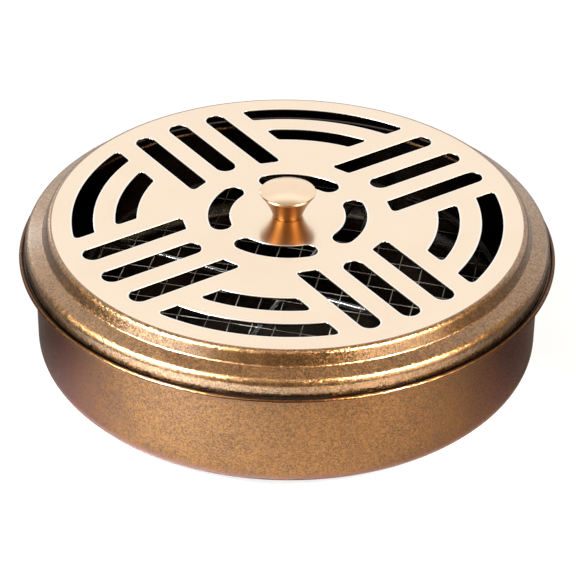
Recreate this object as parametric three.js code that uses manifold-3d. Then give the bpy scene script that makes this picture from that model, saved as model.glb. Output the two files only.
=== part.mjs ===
// A lidded holder for mosquito coils: a pressed tray for the ash, a wire rack with a
// glass-fibre net that carries the coil, and a pierced lid with a turned knob.
// Millimetres, +Z up. The origin is the middle of the tray's underside.

import * as THREE from 'three';
import { mergeVertices } from 'three/addons/utils/BufferGeometryUtils.js';
import Module from 'manifold-3d';

const wasm = await Module();
wasm.setup();

// Shared sizes
const sheet = 0.6;
const seatGap = 0.3;
const cutOverrun = 3;
const turnSteps = 48;
const smallTurnSteps = 24;
const cornerSteps = 3;
const quarterTurn = Math.PI / 2;
const eighthTurn = Math.PI / 4;

// Tray: a round cup with a narrow flange and a rolled bead as its rim
const trayHeight = 32.0;
const trayRadius = 70.45;
const trayCornerRadius = 6.4;
const rimRadius = 74.75;
const rimBeadRadius = 0.6;
const flangeBendRadius = 1.0;

// Lid: a pierced plate, a step down to a sloping ledge, a round bead and a short skirt
const lidHeight = 9.93;
const lidPlay = 0.55;
const skirtHeight = 3.23;
const ledgeBeadRadius = 2.0;
const ledgeSlope = THREE.MathUtils.degToRad(17.4);
const stepTilt = THREE.MathUtils.degToRad(85);
const grooveRadius = 67.8;
const grooveBend = 0.7;
const plateRadius = 66.2;
const shoulderRadius = 1.4;

// Openings in the plate: three straight slots along each diagonal, arcs between them
const slotWidth = 5.73;
const slotPitch = 12.07;
const middleSlotInner = 28.94;
const middleSlotOuter = 59.46;
const sideSlotInner = 26.36;
const sideSlotOuter = 58.28;
const sideSlotSlant = THREE.MathUtils.degToRad(19.8);
const outerArcInner = 53.94;
const outerArcOuter = 59.78;
const innerArcInner = 41.9;
const innerArcOuter = 47.75;
const arcEndOffset = 21.4;
const smallArcRadius = 19.15;
const smallArcWidth = 5.87;
const smallArcHalfAngle = THREE.MathUtils.degToRad(26.4);
const wideCornerRadius = 2.0;
const tightCornerRadius = 0.7;

// Knob, its screw and its washer
const knobHeight = 9.0;
const knobHeadRadius = 7.8;
const knobHeadHeight = 7.4;
const knobEdgeRadius = 0.35;
const knobEdgeTilt = THREE.MathUtils.degToRad(145);
const knobFootRadius = 4.05;
const knobNeckRadius = 5.5;
const knobNeckHeight = 5.9;
const screwRadius = 2.0;
const screwReach = 5.5;
const screwHeadRadius = 3.6;
const screwHeadHeight = 2.2;
const screwSlotWidth = 1.0;
const screwSlotDepth = 1.0;
const washerRadius = 4.9;
const washerThickness = 0.8;

// Rack: a ring on two crossed wires, whose ends are bent down as legs
const wireDiameter = 1.6;
const wireHeight = 16.7;
const wireBendRadius = 3.0;
const rackShift = 1.2;
const wireTurn = THREE.MathUtils.degToRad(-14.5);
const wireCrossing = THREE.MathUtils.degToRad(93);

// Net: one flat sheet with gaps, laid on the ring and glued down round its edge. The
// columns run along Y; the rows are askew, as in a loosely woven net.
const netThickness = 0.4;
const netYarnWidth = 0.5;
const netPitch = 7.09;
const netBorder = 1.3;
const netRowSlant = THREE.MathUtils.degToRad(-4);
const netColumnShares = [-8.95, -7.91, -6.74, -5.73, -4.83, -3.84, -2.69, -1.78, -0.89, 0,
  1.06, 2.14, 3.06, 4.09, 5.01, 6.09, 7.12, 8.15, 9.1];
const netRowShares = [-9.54, -8.54, -7.54, -6.54, -5.54, -4.54, -3.54, -2.54, -1.51, -0.48,
  0.48, 1.34, 2.36, 3.36, 4.36, 5.36, 6.36, 7.36, 8.36, 9.36];

// Places that follow from the sizes
const flangeUnderside = trayHeight - 2 * rimBeadRadius;
const flangeTop = flangeUnderside + sheet;
const lidBottom = flangeTop + seatGap;
const plateTop = lidBottom + lidHeight;
const plateUnderside = plateTop - sheet;
const skirtRadius = rimRadius - 2 * rimBeadRadius - lidPlay;
const wireRadius = wireDiameter / 2;
const flatFloorRadius = trayRadius - trayCornerRadius;
const legRadius = flatFloorRadius - rackShift - wireRadius - seatGap;
const ringRadius = legRadius - wireBendRadius;
const ringHeight = wireHeight + wireDiameter + seatGap;
const netHeight = ringHeight + wireRadius + seatGap;
const screwHoleRadius = screwRadius + seatGap;

// Solids: a closed mesh becomes a solid for a cut and comes back as a geometry

function closedMesh(geometry) {
  const bare = geometry.index ? geometry.toNonIndexed() : geometry.clone();
  bare.deleteAttribute('normal');
  bare.deleteAttribute('uv');
  const merged = mergeVertices(bare);
  const corners = merged.index.array;
  const kept = [];
  for (let i = 0; i < corners.length; i += 3) {
    const [a, b, c] = [corners[i], corners[i + 1], corners[i + 2]];
    if (a !== b && b !== c && c !== a) {
      kept.push(a, b, c);
    }
  }
  merged.setIndex(kept);
  return merged;
}

function toSolid(geometry) {
  const mesh = closedMesh(geometry);
  return new wasm.Manifold(new wasm.Mesh({
    numProp: 3,
    vertProperties: new Float32Array(mesh.attributes.position.array),
    triVerts: new Uint32Array(mesh.index.array),
  }));
}

function toGeometry(solid) {
  const { numProp, vertProperties, triVerts } = solid.getMesh();
  const positions = [];
  for (let i = 0; i < vertProperties.length; i += numProp) {
    positions.push(vertProperties[i], vertProperties[i + 1], vertProperties[i + 2]);
  }
  const geometry = new THREE.BufferGeometry();
  geometry.setAttribute('position', new THREE.Float32BufferAttribute(positions, 3));
  geometry.setIndex(Array.from(triVerts));
  return geometry;
}

function named(name, geometry, material) {
  geometry.computeVertexNormals();
  const mesh = new THREE.Mesh(geometry, material);
  mesh.name = name;
  return mesh;
}

// Profiles: each point holds the tilt of its face, 0 facing up and 90 degrees facing out

function facePoint(radius, height, tilt) {
  return { radius, height, tilt };
}

// An arc round a centre in the profile plane. A negative radius makes a hollow corner.
function faceArc(centreRadius, centreHeight, arcRadius, tiltFrom, tiltTo, steps) {
  const points = [];
  for (let i = 0; i <= steps; i++) {
    const tilt = THREE.MathUtils.lerp(tiltFrom, tiltTo, i / steps);
    points.push(facePoint(
      centreRadius + arcRadius * Math.sin(tilt),
      centreHeight + arcRadius * Math.cos(tilt),
      tilt,
    ));
  }
  return points;
}

// The other side of a sheet, one thickness behind its face, in the opposite order
function behind(face, thickness) {
  return face.map((p) => facePoint(
    p.radius - thickness * Math.sin(p.tilt),
    p.height - thickness * Math.cos(p.tilt),
    p.tilt,
  )).reverse();
}

// LatheGeometry turns about Y, so the result is stood up on Z
function turned(outline, steps) {
  const profile = outline.map((p) => new THREE.Vector2(Math.max(p.radius, 0), p.height));
  const geometry = closedMesh(new THREE.LatheGeometry(profile, steps));
  geometry.rotateX(quarterTurn);
  return geometry;
}

function disc(radius, bottom, top, steps) {
  return turned([
    facePoint(0, bottom, Math.PI),
    facePoint(radius, bottom, Math.PI),
    facePoint(radius, top, 0),
    facePoint(0, top, 0),
  ], steps);
}

// Tray

function trayOutline() {
  const cornerCentre = trayRadius - trayCornerRadius;
  const bendCentre = trayRadius + flangeBendRadius;
  const bendHeight = flangeUnderside - flangeBendRadius;
  const outside = [
    facePoint(0, 0, Math.PI),
    ...faceArc(cornerCentre, trayCornerRadius, trayCornerRadius, Math.PI, quarterTurn, 5),
    ...faceArc(bendCentre, bendHeight, -flangeBendRadius, quarterTurn, Math.PI, 2),
  ];
  const bead = faceArc(
    rimRadius - rimBeadRadius, flangeUnderside + rimBeadRadius, rimBeadRadius,
    Math.PI, -Math.acos((sheet - rimBeadRadius) / rimBeadRadius), 6,
  );
  return [...outside, ...bead, ...behind(outside, sheet)];
}

// Lid

// The corner where the step meets the ledge, from the ledge's tangent on its bead
function grooveCorner() {
  const beadCentre = skirtRadius - ledgeBeadRadius;
  const tangentRadius = beadCentre + ledgeBeadRadius * Math.sin(ledgeSlope);
  const tangentHeight = lidBottom + skirtHeight + ledgeBeadRadius * Math.cos(ledgeSlope);
  const rise = (tangentRadius - grooveRadius) * Math.tan(ledgeSlope);
  return new THREE.Vector2(grooveRadius, tangentHeight + rise);
}

function lidFace() {
  const corner = grooveCorner();
  const step = new THREE.Vector2(Math.sin(stepTilt), Math.cos(stepTilt));
  const ledge = new THREE.Vector2(Math.sin(ledgeSlope), Math.cos(ledgeSlope));
  const outward = step.clone().add(ledge).multiplyScalar(grooveBend / (1 + step.dot(ledge)));
  const bend = corner.clone().add(outward);
  const beadCentre = skirtRadius - ledgeBeadRadius;
  const beadHeight = lidBottom + skirtHeight;
  return [
    facePoint(0, plateTop, 0),
    ...faceArc(plateRadius, plateTop - shoulderRadius, shoulderRadius, 0, stepTilt, 4),
    ...faceArc(bend.x, bend.y, -grooveBend, stepTilt, ledgeSlope, 2),
    ...faceArc(beadCentre, beadHeight, ledgeBeadRadius, ledgeSlope, quarterTurn, 4),
    facePoint(skirtRadius, lidBottom, quarterTurn),
  ];
}

// A closed shape from corner points; each corner that has a radius is rounded
function roundedShape(corners) {
  const shape = new THREE.Shape();
  corners.forEach((corner, i) => {
    const before = corners[(i + corners.length - 1) % corners.length];
    const after = corners[(i + 1) % corners.length];
    const start = corner.at.clone().add(before.at.clone().sub(corner.at).setLength(corner.radius));
    const end = corner.at.clone().add(after.at.clone().sub(corner.at).setLength(corner.radius));
    if (i === 0) {
      shape.moveTo(start.x, start.y);
    } else {
      shape.lineTo(start.x, start.y);
    }
    if (corner.radius > 0) {
      shape.quadraticCurveTo(corner.at.x, corner.at.y, end.x, end.y);
    }
  });
  shape.closePath();
  return shape;
}

// Points on an arc round a centre on the X axis, for the corners of a shape
function arcCorners(centreX, radius, angleFrom, angleTo, steps) {
  const corners = [];
  for (let i = 0; i <= steps; i++) {
    const angle = THREE.MathUtils.lerp(angleFrom, angleTo, i / steps);
    const at = new THREE.Vector2(centreX + radius * Math.cos(angle), radius * Math.sin(angle));
    corners.push({ at, radius: 0 });
  }
  return corners;
}

// A straight slot lies along +X. The middle one (side 0) has two round ends. The inner end
// of a side one is cut at a slant, and its corner away from the middle slot is the wide one.
function straightSlot(inner, outer, side) {
  const half = slotWidth / 2;
  const corners = arcCorners(outer - half, half, -quarterTurn, quarterTurn, 8);
  if (side === 0) {
    corners.push(...arcCorners(inner + half, half, quarterTurn, 3 * quarterTurn, 8));
  } else {
    const lead = side * half * Math.tan(sideSlotSlant);
    const upperRadius = side > 0 ? wideCornerRadius : tightCornerRadius;
    const lowerRadius = side > 0 ? tightCornerRadius : wideCornerRadius;
    corners.push({ at: new THREE.Vector2(inner - lead, half), radius: upperRadius });
    corners.push({ at: new THREE.Vector2(inner + lead, -half), radius: lowerRadius });
  }
  return roundedShape(corners);
}

// An arc-shaped opening across +X, with its ends cut parallel to the diagonal slots
function arcOpening(inner, outer, steps) {
  const reach = (radius) => eighthTurn - Math.asin(arcEndOffset / radius);
  const far = arcCorners(0, outer, -reach(outer), reach(outer), steps);
  const near = arcCorners(0, inner, reach(inner), -reach(inner), steps);
  far[0].radius = wideCornerRadius;
  far[steps].radius = wideCornerRadius;
  near[0].radius = tightCornerRadius;
  near[steps].radius = tightCornerRadius;
  return roundedShape([...far, ...near]);
}

// The small arc next to the knob has round ends
function smallArcOpening() {
  const half = smallArcWidth / 2;
  const reach = smallArcHalfAngle;
  const end = new THREE.Vector2(smallArcRadius, 0).rotateAround(new THREE.Vector2(), reach);
  const shape = new THREE.Shape();
  shape.absarc(0, 0, smallArcRadius + half, -reach, reach);
  shape.absarc(end.x, end.y, half, reach, reach + Math.PI);
  shape.absarc(0, 0, smallArcRadius - half, reach, -reach, true);
  shape.absarc(end.x, -end.y, half, Math.PI - reach, 2 * Math.PI - reach);
  shape.closePath();
  return shape;
}

// The openings of one quarter of the plate. Each shape lies across +X until it is placed.
function quarterOpenings() {
  const slots = [
    { shape: straightSlot(middleSlotInner, middleSlotOuter, 0), shift: 0 },
    { shape: straightSlot(sideSlotInner, sideSlotOuter, 1), shift: slotPitch },
    { shape: straightSlot(sideSlotInner, sideSlotOuter, -1), shift: -slotPitch },
  ];
  const arcs = [
    arcOpening(outerArcInner, outerArcOuter, 6),
    arcOpening(innerArcInner, innerArcOuter, 5),
    smallArcOpening(),
  ];
  return [
    ...slots.map((slot) => ({ ...slot, turn: eighthTurn })),
    ...arcs.map((shape) => ({ shape, shift: 0, turn: 0 })),
  ];
}

function plateCutter(opening, quarter) {
  const geometry = new THREE.ExtrudeGeometry(opening.shape, {
    depth: sheet + 2 * cutOverrun,
    bevelEnabled: false,
    curveSegments: cornerSteps,
    steps: 1,
  });
  geometry.translate(0, opening.shift, plateUnderside - cutOverrun);
  geometry.rotateZ(opening.turn + quarter * quarterTurn);
  return toSolid(geometry);
}

function lidGeometry() {
  const face = lidFace();
  let solid = toSolid(turned([...face, ...behind(face, sheet)].reverse(), turnSteps));
  const hole = disc(screwHoleRadius, plateUnderside - cutOverrun, plateTop + cutOverrun, smallTurnSteps);
  solid = solid.subtract(toSolid(hole));
  for (const opening of quarterOpenings()) {
    for (let quarter = 0; quarter < 4; quarter++) {
      solid = solid.subtract(plateCutter(opening, quarter));
    }
  }
  return toGeometry(solid);
}

// Knob: a domed head on a stem that widens evenly from its foot to a neck, bored from below
function knobOutline() {
  const edgeCentre = knobHeadRadius - knobEdgeRadius;
  const domeRise = knobHeight - knobHeadHeight - knobEdgeRadius;
  const boreTop = screwReach + seatGap;
  const outline = [
    facePoint(0, boreTop, 0),
    facePoint(screwHoleRadius, boreTop, 0),
    facePoint(screwHoleRadius, 0, Math.PI),
    facePoint(knobFootRadius, 0, quarterTurn),
    facePoint(knobNeckRadius, knobNeckHeight, quarterTurn),
    ...faceArc(edgeCentre, knobHeadHeight, knobEdgeRadius, knobEdgeTilt, 0, 4),
  ];
  for (let i = 1; i <= 5; i++) {
    const angle = quarterTurn * (i / 5);
    outline.push(facePoint(
      edgeCentre * Math.cos(angle),
      knobHeadHeight + knobEdgeRadius + domeRise * Math.sin(angle),
      0,
    ));
  }
  return outline.map((p) => facePoint(p.radius, p.height + plateTop, p.tilt));
}

// The washer lies against the plate's underside and the screw's head against the washer
function washerOutline() {
  const bottom = plateUnderside - washerThickness;
  return [
    facePoint(screwHoleRadius, bottom, Math.PI),
    facePoint(washerRadius, bottom, Math.PI),
    facePoint(washerRadius, plateUnderside, 0),
    facePoint(screwHoleRadius, plateUnderside, 0),
    facePoint(screwHoleRadius, bottom, Math.PI),
  ];
}

function screwGeometry() {
  const headTop = plateUnderside - washerThickness;
  const headBottom = headTop - screwHeadHeight;
  const headDome = screwHeadHeight / 2;
  const body = toSolid(turned([
    facePoint(0, headBottom, Math.PI),
    facePoint(screwHeadRadius - headDome, headBottom, Math.PI),
    facePoint(screwHeadRadius, headBottom + headDome, quarterTurn),
    facePoint(screwHeadRadius, headTop, quarterTurn),
    facePoint(screwRadius, headTop, 0),
    facePoint(screwRadius, plateTop + screwReach, 0),
    facePoint(0, plateTop + screwReach, 0),
  ], smallTurnSteps));
  const slot = new THREE.BoxGeometry(2 * screwHeadRadius + cutOverrun, screwSlotWidth, 2 * screwSlotDepth);
  slot.translate(0, 0, headBottom);
  return toGeometry(body.subtract(toSolid(slot)));
}

// Rack

// One wire in the plane of X and Z: leg, bend, span, bend, leg. The span may rise
// towards its middle, where it crosses over the other wire.
function wirePath(middleRise) {
  const foot = sheet + seatGap;
  const spanEnd = legRadius - wireBendRadius;
  const bendBottom = wireHeight - wireBendRadius;
  const path = new THREE.CurvePath();
  const at = (x, z) => new THREE.Vector3(x, 0, z);
  const line = (a, b) => path.add(new THREE.LineCurve3(a, b));
  const bend = (a, corner, b) => path.add(new THREE.QuadraticBezierCurve3(a, corner, b));
  line(at(-legRadius, foot), at(-legRadius, bendBottom));
  bend(at(-legRadius, bendBottom), at(-legRadius, wireHeight), at(-spanEnd, wireHeight));
  if (middleRise > 0) {
    const bezierRise = wireHeight + middleRise * (4 / 3);
    const handle = spanEnd / 2;
    path.add(new THREE.CubicBezierCurve3(
      at(-spanEnd, wireHeight), at(-handle, bezierRise), at(handle, bezierRise), at(spanEnd, wireHeight),
    ));
  } else {
    line(at(-spanEnd, wireHeight), at(spanEnd, wireHeight));
  }
  bend(at(spanEnd, wireHeight), at(legRadius, wireHeight), at(legRadius, bendBottom));
  line(at(legRadius, bendBottom), at(legRadius, foot));
  return path;
}

function wireGeometry(middleRise) {
  const section = new THREE.Shape();
  section.absarc(0, 0, wireRadius, 0, 4 * quarterTurn);
  return closedMesh(new THREE.ExtrudeGeometry(section, {
    steps: 56,
    curveSegments: 4,
    bevelEnabled: false,
    extrudePath: wirePath(middleRise),
  }));
}

function ringGeometry() {
  return closedMesh(new THREE.TorusGeometry(ringRadius, wireRadius, 8, turnSteps));
}

// One gap of the net: its sides run along Y and its other two edges follow the rows
function gapGeometry(left, right, front, back) {
  const slope = Math.tan(netRowSlant);
  const corners = [[left, front], [right, front], [right, back], [left, back]];
  const shape = new THREE.Shape(corners.map(([x, y]) => new THREE.Vector2(x, y + slope * x)));
  const geometry = new THREE.ExtrudeGeometry(shape, {
    depth: 2 * cutOverrun,
    bevelEnabled: false,
    steps: 1,
  });
  geometry.translate(0, 0, -cutOverrun);
  return geometry;
}

// Net: a disc, less the gaps between its yarns. Each gap stops at the glued border.
function netGeometry() {
  const edgeRadius = ringRadius + wireRadius;
  const openRadius = edgeRadius - netBorder;
  const open = toSolid(disc(openRadius, -2 * cutOverrun, 2 * cutOverrun, turnSteps));
  let net = toSolid(disc(edgeRadius, 0, netThickness, turnSteps));
  for (let i = 0; i + 1 < netColumnShares.length; i++) {
    for (let j = 0; j + 1 < netRowShares.length; j++) {
      const left = netPitch * netColumnShares[i] + netYarnWidth / 2;
      const right = netPitch * netColumnShares[i + 1] - netYarnWidth / 2;
      const front = netPitch * netRowShares[j] + netYarnWidth / 2;
      const back = netPitch * netRowShares[j + 1] - netYarnWidth / 2;
      const drop = Math.tan(netRowSlant) * (left + right) / 2;
      const nearX = Math.max(0, left, -right);
      const nearY = Math.max(0, front + drop, -back - drop);
      if (Math.hypot(nearX, nearY) < openRadius - netBorder) {
        const gap = toSolid(gapGeometry(left, right, front, back));
        net = net.subtract(gap.intersect(open));
      }
    }
  }
  return toGeometry(net);
}

// Materials

function flakePaint() {
  return new THREE.MeshStandardMaterial({ color: 0x9a6b40, roughness: 0.45, metalness: 0.8 });
}

function plateFinish() {
  return new THREE.MeshStandardMaterial({ color: 0xf0d2b0, roughness: 0.2, metalness: 0.9 });
}

function knobFinish() {
  return new THREE.MeshStandardMaterial({ color: 0xd9b48c, roughness: 0.25, metalness: 0.9 });
}

function plainSteel() {
  return new THREE.MeshStandardMaterial({ color: 0xb9bcc0, roughness: 0.25, metalness: 1.0 });
}

function glassYarn() {
  return new THREE.MeshStandardMaterial({ color: 0xd8d8d0, roughness: 0.7, metalness: 0.0 });
}

// Assembly

function knobAssembly() {
  const group = new THREE.Group();
  group.add(named('lid', lidGeometry(), plateFinish()));
  group.add(named('knob', turned(knobOutline(), smallTurnSteps), knobFinish()));
  group.add(named('knob_washer', turned(washerOutline(), smallTurnSteps), plainSteel()));
  group.add(named('knob_screw', screwGeometry(), plainSteel()));
  return group;
}

function rackAssembly() {
  const group = new THREE.Group();
  const wires = new THREE.Group();
  const crossing = wireDiameter + seatGap;
  const lower = named('cross_wire_a', wireGeometry(0), plainSteel());
  const upper = named('cross_wire_b', wireGeometry(crossing), plainSteel());
  upper.rotation.z = wireCrossing;
  wires.add(lower, upper);
  wires.rotation.z = wireTurn;
  const ring = named('net_ring', ringGeometry(), plainSteel());
  ring.position.z = ringHeight;
  const net = named('net', netGeometry(), glassYarn());
  net.position.z = netHeight;
  group.add(wires, ring, net);
  group.position.x = rackShift;
  return group;
}

const group = new THREE.Group();
group.add(named('tray', turned(trayOutline(), turnSteps), flakePaint()));
group.add(knobAssembly());
group.add(rackAssembly());

export default group;
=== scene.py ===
# %% [markdown]
# A mosquito coil holder, dressed for its picture
#
# The object is a household article of pressed sheet steel. A round tray catches the ash.
# A wire rack with a glass-fibre net carries the burning coil above it. A pierced lid lets
# the smoke out, and a small turned knob lifts it off.
#
# The plain solids of every part come from the frame, in metres, with Z up and the middle
# of the tray's underside as the origin. This lesson replaces each solid by a finer piece
# in the same place, and paints it. Sizes are written in millimetres, because that is how
# a maker would read them off a drawing.

# %% Load the frame
import math
import random
from math import cos, pi, radians, sin

import bmesh
import bpy
from mathutils import Matrix, Quaternion, Vector, noise


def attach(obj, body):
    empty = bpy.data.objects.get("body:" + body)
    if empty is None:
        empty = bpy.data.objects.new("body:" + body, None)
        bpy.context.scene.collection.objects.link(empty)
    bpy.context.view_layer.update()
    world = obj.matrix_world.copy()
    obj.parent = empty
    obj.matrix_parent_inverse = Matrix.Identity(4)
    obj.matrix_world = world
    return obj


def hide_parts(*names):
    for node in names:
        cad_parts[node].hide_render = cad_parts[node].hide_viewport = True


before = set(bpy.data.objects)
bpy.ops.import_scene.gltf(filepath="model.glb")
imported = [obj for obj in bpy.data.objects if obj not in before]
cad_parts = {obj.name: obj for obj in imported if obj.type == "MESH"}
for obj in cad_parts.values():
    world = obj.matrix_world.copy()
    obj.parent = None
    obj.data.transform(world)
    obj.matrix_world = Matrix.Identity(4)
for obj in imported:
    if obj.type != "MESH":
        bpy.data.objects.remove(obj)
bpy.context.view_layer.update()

MM = 0.001
print("frame loaded, nodes:", ", ".join(sorted(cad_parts)))

# %% [markdown]
# Camera
#
# A picture can only be matched from the place where it was taken, so the camera comes
# first. Its place was found from the plate: circles in it show as ellipses, and how much
# they are squeezed and how fast they shrink towards the back give the height and the
# distance. The lens is long and far away, as a studio would use for a small product.
# The camera could also be aimed with a constraint, but a direction and a roll are easier
# to read and to change.

# %% Place the camera
CAMERA_AZIMUTH = radians(10.34)
CAMERA_ELEVATION = radians(33.38)
CAMERA_ROLL = radians(0.75)
CAMERA_DISTANCE = 691.8 * MM
CAMERA_TARGET = Vector((0, 0, 17.51 * MM))
CAMERA_LENS = 152.7
SENSOR_WIDTH = 36.0
CAMERA_SHIFT = (0.0023, -0.0014)


def add_object(name, data):
    """Puts an object in the scene."""
    item = bpy.data.objects.new(name, data)
    bpy.context.scene.collection.objects.link(item)
    return item


def direction(azimuth, elevation):
    """The way from the object to a point round it. Azimuth 0 is the front, at -Y."""
    level = cos(elevation)
    return Vector((sin(azimuth) * level, -cos(azimuth) * level, sin(elevation)))


camera_data = bpy.data.cameras.new("camera")
camera_data.lens = CAMERA_LENS
camera_data.sensor_width = SENSOR_WIDTH
camera_data.shift_x, camera_data.shift_y = CAMERA_SHIFT
camera = add_object("camera", camera_data)
to_camera = direction(CAMERA_AZIMUTH, CAMERA_ELEVATION)
camera.location = CAMERA_TARGET + to_camera * CAMERA_DISTANCE
camera.rotation_mode = "QUATERNION"
camera.rotation_quaternion = (
    to_camera.to_track_quat("Z", "Y") @ Quaternion((0, 0, 1), CAMERA_ROLL)
)
bpy.context.scene.camera = camera
bpy.context.scene.view_settings.view_transform = "Standard"
print("camera stands", round(camera.location.length, 3), "m from the origin")

# %% [markdown]
# Building materials from nodes
#
# Every finish below is made of shader nodes, with no pictures. A small helper adds one
# node and fills or links its inputs, so that each finish reads as a short recipe.

# %% Node helpers


def add_node(tree, kind, inputs=None, **settings):
    """Adds a node. An input is given a value, or the output socket that feeds it."""
    node = tree.nodes.new("ShaderNode" + kind)
    for name, value in settings.items():
        setattr(node, name, value)
    for name, value in (inputs or {}).items():
        if isinstance(value, bpy.types.NodeSocket):
            tree.links.new(value, node.inputs[name])
        else:
            node.inputs[name].default_value = value
    return node


def maths(tree, operation, first, second=0.0, third=0.0):
    """One sum on numbers; its output socket comes back."""
    inputs = {0: first, 1: second, 2: third}
    return add_node(tree, "Math", inputs, operation=operation).outputs[0]


def vector_maths(tree, operation, *values):
    """One sum on vectors; its output socket comes back."""
    node = add_node(tree, "VectorMath", dict(enumerate(values)), operation=operation)
    gives_number = operation in ("DOT_PRODUCT", "LENGTH")
    return node.outputs["Value" if gives_number else "Vector"]


def empty_material(name):
    material = bpy.data.materials.new(name)
    material.use_nodes = True
    material.node_tree.nodes.clear()
    return material, material.node_tree


def with_surface(material, shader):
    """Makes a shader the surface of a material; the material comes back."""
    add_node(material.node_tree, "OutputMaterial", {"Surface": shader})
    return material


def place_on_object(tree):
    """The point on the piece, in metres, in the piece's own frame."""
    return add_node(tree, "TexCoord").outputs["Object"]


def along(tree, place, axis):
    """How far a point lies along one axis, named by its letter."""
    return add_node(tree, "SeparateXYZ", {0: place}).outputs[axis]


def stored(tree, name):
    """A number that the mesh stores at each of its points."""
    return add_node(tree, "Attribute", attribute_name=name).outputs["Fac"]


def bump(tree, height, strength, distance):
    """The normal of a fine relief."""
    inputs = {"Strength": strength, "Distance": distance, "Height": height}
    return add_node(tree, "Bump", inputs).outputs[0]


def metal(tree, colour, roughness, more=None):
    """A metal surface, with more inputs of the shader by name."""
    inputs = {"Base Color": colour, "Metallic": 1.0, "Roughness": roughness}
    return add_node(tree, "BsdfPrincipled", inputs | (more or {})).outputs[0]


def two_colours(tree, share, first, second):
    """A colour between two, by a share from 0 to 1."""
    inputs = {0: share, 6: first, 7: second}
    return add_node(tree, "Mix", inputs, data_type="RGBA").outputs[2]


def two_shaders(tree, share, first, second):
    return add_node(tree, "MixShader", {0: share, 1: first, 2: second}).outputs[0]


def remap(tree, value, low, high, to_low=0.0, to_high=1.0):
    """A value that runs smoothly from one pair of limits to another."""
    inputs = {"Value": value, "From Min": low, "From Max": high,
              "To Min": to_low, "To Max": to_high}
    return add_node(
        tree, "MapRange", inputs, interpolation_type="SMOOTHSTEP", clamp=True
    ).outputs["Result"]


# %% [markdown]
# Floor and backdrop
#
# A product is usually photographed on a white sheet. Here it is a pale floor with a plain
# white surround. The floor is matt and takes the object's soft shadow. What the camera
# sees of it is raised, so that its pale colour reads as white without more light on the
# object. The shiny parts see it raised less, because a wall that mirrors a white floor
# would look as pale as the floor itself.

# %% Floor
FLOOR_SIZE = 6.0
FLOOR_GAP = 0.2 * MM
FLOOR_GREY = (0.20, 0.20, 0.20, 1)
FLOOR_LIFT = 0.86
FLOOR_LIFT_IN_MIRRORS = 0.05


def floor_lift(tree):
    """How much of its own light the floor shows to the camera, to glass and to mirrors."""
    path = add_node(tree, "LightPath")
    seen = maths(
        tree, "MAXIMUM", path.outputs["Is Camera Ray"], path.outputs["Is Transmission Ray"]
    )
    mirrored = maths(tree, "MULTIPLY", path.outputs["Is Glossy Ray"], FLOOR_LIFT_IN_MIRRORS)
    return maths(tree, "MULTIPLY_ADD", seen, FLOOR_LIFT, mirrored)


def floor_material():
    material, tree = empty_material("pale_floor")
    matt = add_node(tree, "BsdfDiffuse", {"Color": FLOOR_GREY}).outputs[0]
    lift = floor_lift(tree)
    glow = add_node(
        tree, "Emission", {"Color": (1, 1, 1, 1), "Strength": lift}
    ).outputs[0]
    both = add_node(tree, "AddShader", {0: matt, 1: glow})
    return with_surface(material, both.outputs[0])


floor_mesh = bpy.data.meshes.new("floor")
half = FLOOR_SIZE / 2
floor_mesh.from_pydata(
    [(-half, -half, 0), (half, -half, 0), (half, half, 0), (-half, half, 0)], [], [(0, 1, 2, 3)]
)
floor = add_object("floor", floor_mesh)
floor.location.z = -FLOOR_GAP
floor_mesh.materials.append(floor_material())
print("floor", FLOOR_SIZE, "m wide")

# %% [markdown]
# Light
#
# Metal shows what stands round it more than it shows lamps. The flat plate mirrors the
# white backdrop behind the object, so it looks cream. The stem of the knob faces the warm,
# dim room on the camera's side. Two tall soft strips stand in that room, a cool one at the
# left and a weaker warm one at the right. They draw the bright lines on the round beads,
# and two lamps sharpen them. The upright wall mirrors the floor in front of it, so two more
# lamps light pools on the floor there. A weak fifth one lights the left edge of the lid
# from behind. Lamps alone would leave the metal black.

# %% Surround
SURROUND_OVERHEAD = 1.3
ROOM_TOP = 0.50
ROOM_HIGH = 0.25
ROOM_LOW = 0.38
ROOM_COLOUR = (1.0, 0.68, 0.40)
COOL = (0.93, 0.97, 1.0)
WARM = (1.0, 0.90, 0.74)
STRIPS = ((-28, 3.8, COOL), (25, 2.7, WARM))
STRIP_TILTS = (75, 30)
STRIP_CORE = 0.16
STRIP_RIM = 0.46


def mirrored(face_azimuth, tilt):
    """Where the camera looks by way of a face that leans out by the tilt, in degrees."""
    azimuth = CAMERA_AZIMUTH + radians(face_azimuth)
    normal = direction(azimuth, radians(90 - tilt))
    return 2 * normal.dot(to_camera) * normal - to_camera


def strip_share(tree, way, front, face_azimuth):
    """A tall soft strip, placed so that round edges at one azimuth mirror it."""
    low, high = [mirrored(face_azimuth, tilt) for tilt in STRIP_TILTS]
    off_axis = vector_maths(tree, "DOT_PRODUCT", way, low.cross(high).normalized())
    near = remap(tree, maths(tree, "ABSOLUTE", off_axis), STRIP_CORE, STRIP_RIM, 1.0, 0.0)
    return maths(tree, "MULTIPLY", near, remap(tree, front, -0.15, 0.25))


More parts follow.
